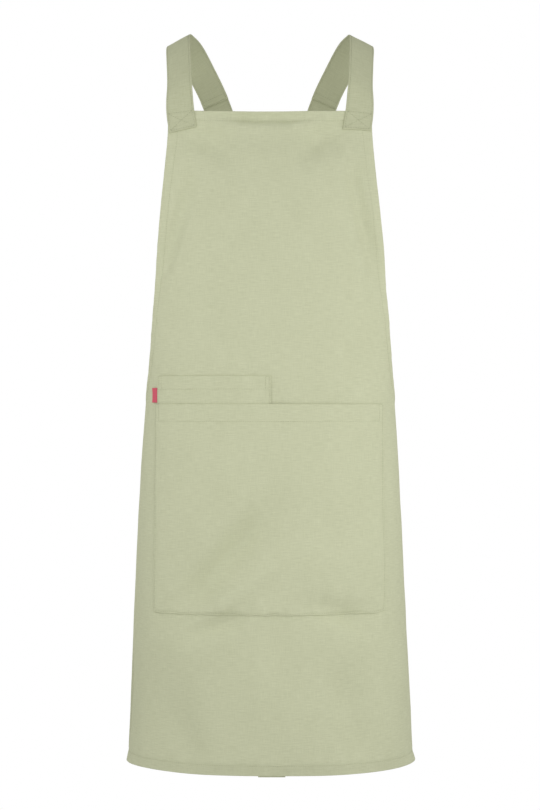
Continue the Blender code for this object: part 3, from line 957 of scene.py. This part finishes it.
def strap(hand, part):
    """One stretch of a strap, on the shoulder or on the back, with its stitches."""
    stations, bib_edge, seam = strap_stations(hand)
    lapped = part == "back"
    start = seam - SEAM_LAP / 2 if lapped else 0.0
    end = stations[-1][0] if lapped else seam + SEAM_LAP / 2
    side_name = "left" if hand < 0 else "right"
    run_down = BACK_CORNER_DROP + FOOT_LENGTH - SEAM_DROP
    run_across = SEAM_OUT + BACK_CORNER_HALF + CORNER_MARGIN + STRAP_WIDTH / 2
    cross = -SEAM_DROP - run_down * SEAM_OUT / run_across
    step_up = LAP_RISE + GAP

    @functools.lru_cache(maxsize=None)
    def frame_at(at):
        return strap_frame(stations, at)

    def lie(at, out):
        """Body side of the strap at a length along it and a distance out from its middle."""
        centre, across, face = frame_at(at)
        turn = math.radians(FOOT_TURN[hand]) * ease(1.0 - at / bib_edge)
        across = Matrix.Rotation(turn, 3, face) @ across
        point = centre + across * out
        on_front = 1.0 - ease((at - bib_edge - FREE_START) / FREE_REACH)
        on_back = ease((at - seam) / FREE_REACH)
        if on_front > 0.0:
            rest, normal = settle(point.x, point.z, -1, GAP)
            point = point.lerp(rest, on_front)
            face = face.lerp(normal, on_front).normalized()
        if on_back > 0.0:
            rest, normal = settle(point.x, point.z, 1, GAP)
            point = point.lerp(rest, on_back)
            face = face.lerp(normal, on_back).normalized()
        lift = 0.0
        if lapped:
            lift += step_up * (1.0 - ease((at - seam - SEAM_LAP) / FREE_REACH))
            if hand == OVER_HAND:
                past_cross = abs(centre.z - cross) - STRAP_WIDTH * CROSS_REACH
                lift += step_up * (1.0 - ease(past_cross / FREE_REACH))
        free = 1.0 - max(on_front, on_back)
        lift += free * STRAP_WAVE * noise.noise(Vector((at / 0.045, out / 0.030, 4.0 * hand)))
        return point + face * lift, face

    half = STRAP_WIDTH / 2 - STRAP_ROW_IN
    foot = (end - FOOT_LENGTH + 0.002, end - STRAP_ROW_IN) if lapped else (STRAP_ROW_IN, bib_edge - 0.0030)
    box = [(foot[0], -half, foot[0], half), (foot[1], -half, foot[1], half),
           (foot[0], -half, foot[1], half), (foot[0], half, foot[1], -half)]
    foot_pitch = (COARSE_PITCH, FINE_PITCH)
    edge = FOLDED_EDGE + [STRAP_EDGE_ROW, 0.0045]
    outs = [inset - STRAP_WIDTH / 2 for inset in edge]
    outs += spaced(outs[-1], -outs[-1], FINE_PITCH)
    outs += [-out for out in outs[len(edge) - 2::-1]]
    alongs = [start + inset for inset in edge]
    for stop, pitch in ((start + FOOT_LENGTH, foot_pitch[not lapped]), (end - FOOT_LENGTH, COARSE_PITCH),
                        (end - edge[-1], foot_pitch[lapped])):
        alongs += spaced(alongs[-1], stop, pitch)
    alongs += [end - inset for inset in edge[-2::-1]]

    def place(column, row):
        at, out = alongs[row], outs[column]
        point, face = lie(at, out)
        beside = STRAP_WIDTH / 2 - abs(out)
        dent = ROW_DENT * math.exp(-((beside - STRAP_EDGE_ROW) / SEAM_DENT_REACH) ** 2)
        ripple = noise.noise(Vector((at / 0.0075, 2.0 * hand + (3.0 if out > 0 else 0.0), 1.0)))
        dent += EDGE_RIPPLE * ripple * math.exp(-beside / 0.006)
        if foot[0] - 0.004 < at < foot[1] + 0.004:
            near = min(beside_line(at, out, *line) for line in box)
            dent = max(dent, BOX_DENT * math.exp(-(near / BOX_DENT_REACH) ** 2))
        rolled = roll(min(beside, at - start, end - at), STRAP_WALL)
        return point + face * (STRAP_WALL - rolled) / 2, max(rolled - dent, 0.0005)

    def seam_run(at0, out0, at1, out1, through=0.0):
        steps = max(2, int(math.hypot(at1 - at0, out1 - out0) / RUN_STEP))
        outer, inner = [], []
        for step in range(steps + 1):
            share = step / steps
            point, face = lie(at0 + (at1 - at0) * share, out0 + (out1 - out0) * share)
            outer.append((point + face * (STRAP_WALL - THREAD_LIFT), face))
            inner.append((point - face * (through + THREAD_LIFT), -face))
        return outer, inner

    name = part + "_strap_" + side_name
    piece = cloth(name + "_cloth", len(outs) - 1, len(alongs) - 1, place, SAGE_STRAP_SHADED, True)
    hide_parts(name)
    runs = []
    for out in (-half, half):
        runs += seam_run(start + 0.003, out, end - 0.003, out)
    behind = GAP + HEM_WALL
    for line in box:
        runs += seam_run(*line, through=behind)
    if lapped:
        for at in (seam - SEAM_LAP / 2 + 0.0022, seam + SEAM_LAP / 2 - 0.0022):
            runs += seam_run(at, -half, at, half, through=step_up)
    stitches = sew(name + "_stitches", runs, thread=THREAD_SHADED)
    return piece


for hand in (-1, 1):
    strap(hand, "shoulder")
    strap(hand, "back")

# Hem tab. A short folded piece of the cloth caught behind the middle of the front hem, of which
# about 2 mm shows below the edge.
TAB_WIDTH = 0.0375
TAB_SHOW = 0.0022
TAB_CENTRE = 0.0024
TAB_LEAN = 0.20
tab_across = [inset - TAB_WIDTH / 2 for inset in FOLDED_EDGE]
tab_across += spaced(tab_across[-1], -tab_across[-1], 0.0022)
tab_across += [-x for x in tab_across[1::-1]]
tab_up = [0.0, 0.0004, 0.0010, 0.0018, 0.0030, 0.0042, 0.0065, 0.0095, 0.013, 0.0165, 0.019, 0.0200]


def tab_place(column, row):
    x = TAB_CENTRE + tab_across[column]
    z = LOWER_EDGE - TAB_SHOW + tab_up[row]
    point, normal = settle(x, max(z, LOWER_EDGE), -1, -HEM_WALL - 2 * GAP - cup(z))
    point.z = z - lower_sag(x, LOWER_EDGE)
    point -= normal * TAB_LEAN * max(LOWER_EDGE - z, 0.0)
    rolled = roll(min(TAB_WIDTH / 2 - abs(tab_across[column]), tab_up[row]), STRAP_WALL)
    return point - normal * (STRAP_WALL - rolled) / 2, rolled


tab = cloth("hem_tab_cloth", len(tab_across) - 1, len(tab_up) - 1, tab_place, SAGE, False)
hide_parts("hem_tab")

# Studio. A pale floor below the hanging apron and a white surround that is brighter from above. Two
# soft lights stand in front, the stronger one on the right, and one on each side. The camera has the
# photograph's level view.
CAMERA_BACK = 2.8
CAMERA_HEIGHT = -0.5177
FLOOR_BELOW = 0.45
FLOOR_RADIUS = 1.75
RIM_START = 0.85
RIM_END = 1.70
RIM_GLOW = 0.60
LIGHT_FROM_BELOW = 0.31
LIGHT_FROM_ABOVE = 0.64
LIGHT_AIM = Vector((0.0, 0.0, -0.45))
scene = bpy.context.scene
scene.view_settings.view_transform = "Standard"
camera = bpy.data.objects.new("camera", bpy.data.cameras.new("camera"))
scene.collection.objects.link(camera)
camera.location = (0.0, -CAMERA_BACK, CAMERA_HEIGHT)
camera.rotation_euler = (math.radians(90), 0.0, 0.0)
camera.data.lens = 87.11
camera.data.sensor_width = 36.0
scene.camera = camera

floor_mesh = bpy.data.meshes.new("floor")
floor_grid = bmesh.new()
bmesh.ops.create_circle(floor_grid, cap_ends=True, segments=96, radius=FLOOR_RADIUS)
bmesh.ops.translate(floor_grid, verts=floor_grid.verts, vec=(0.0, 0.0, LOWER_EDGE - FLOOR_BELOW))
floor_grid.to_mesh(floor_mesh)
floor_grid.free()
floor = bpy.data.objects.new("floor", floor_mesh)
scene.collection.objects.link(floor)
pale = bpy.data.materials.new("matt_white_paint_with_painted_glow")
pale.use_nodes = True
paint = pale.node_tree.nodes["Principled BSDF"]
paint.inputs["Base Color"].default_value = linear("#E6E6E3")
paint.inputs["Roughness"].default_value = 0.9
# The rim of the floor glows: painted light that rises from nothing at RIM_START to RIM_GLOW at RIM_END, so
# that the floor has no hard edge
tree = pale.node_tree
place = node(tree, "ShaderNodeTexCoord")
flat = node(tree, "ShaderNodeMapping", None, i0=place.outputs["Object"], Scale=(1.0, 1.0, 0.0))
reach = node(tree, "ShaderNodeVectorMath", {"operation": "LENGTH"}, i0=flat.outputs[0])
painted_rim_glow = node(tree, "ShaderNodeMapRange", {"interpolation_type": "SMOOTHSTEP"},
            Value=reach.outputs["Value"], i1=RIM_START, i2=RIM_END, i3=0.0, i4=RIM_GLOW)
paint.inputs["Emission Color"].default_value = (1.0, 1.0, 1.0, 1.0)
tree.links.new(painted_rim_glow.outputs[0], paint.inputs["Emission Strength"])
floor_mesh.materials.append(pale)

world = bpy.data.worlds.new("white_surround")
world.use_nodes = True
scene.world = world
tree = world.node_tree
tree.nodes.clear()
path = node(tree, "ShaderNodeLightPath")
way = node(tree, "ShaderNodeTexCoord")
upward = node(tree, "ShaderNodeSeparateXYZ", None, i0=way.outputs["Generated"])
from_above = node(tree, "ShaderNodeMapRange", None, Value=upward.outputs[2],
                  i1=-1.0, i2=1.0, i3=LIGHT_FROM_BELOW, i4=LIGHT_FROM_ABOVE)
strength = node(tree, "ShaderNodeMapRange", None,
                Value=path.outputs["Is Camera Ray"], i3=from_above.outputs[0], i4=1.0)
surround = node(tree, "ShaderNodeBackground", None,
                Color=(1.0, 1.0, 1.0, 1.0), Strength=strength.outputs[0])
node(tree, "ShaderNodeOutputWorld", None, Surface=surround.outputs[0])

SOFTBOXES = (
    # name, side, energy, place
    ("softbox_front_right", 0.7, 5.2, (0.60, -1.45, -0.42)),
    ("softbox_front_left", 0.7, 2.3, (-0.60, -1.45, -0.30)),
    ("softbox_right", 0.6, 2.1, (0.90, -0.40, -0.36)),
    ("softbox_left", 0.6, 2.3, (-0.90, -0.46, -0.18)),
)
for name, size, energy, place in SOFTBOXES:
    softbox = bpy.data.objects.new(name, bpy.data.lights.new(name, "AREA"))
    scene.collection.objects.link(softbox)
    softbox.data.shape = "SQUARE"
    softbox.data.size = size
    softbox.data.energy = energy
    softbox.location = place
    aim = LIGHT_AIM - softbox.location
    softbox.rotation_euler = aim.to_track_quat("-Z", "Y").to_euler()
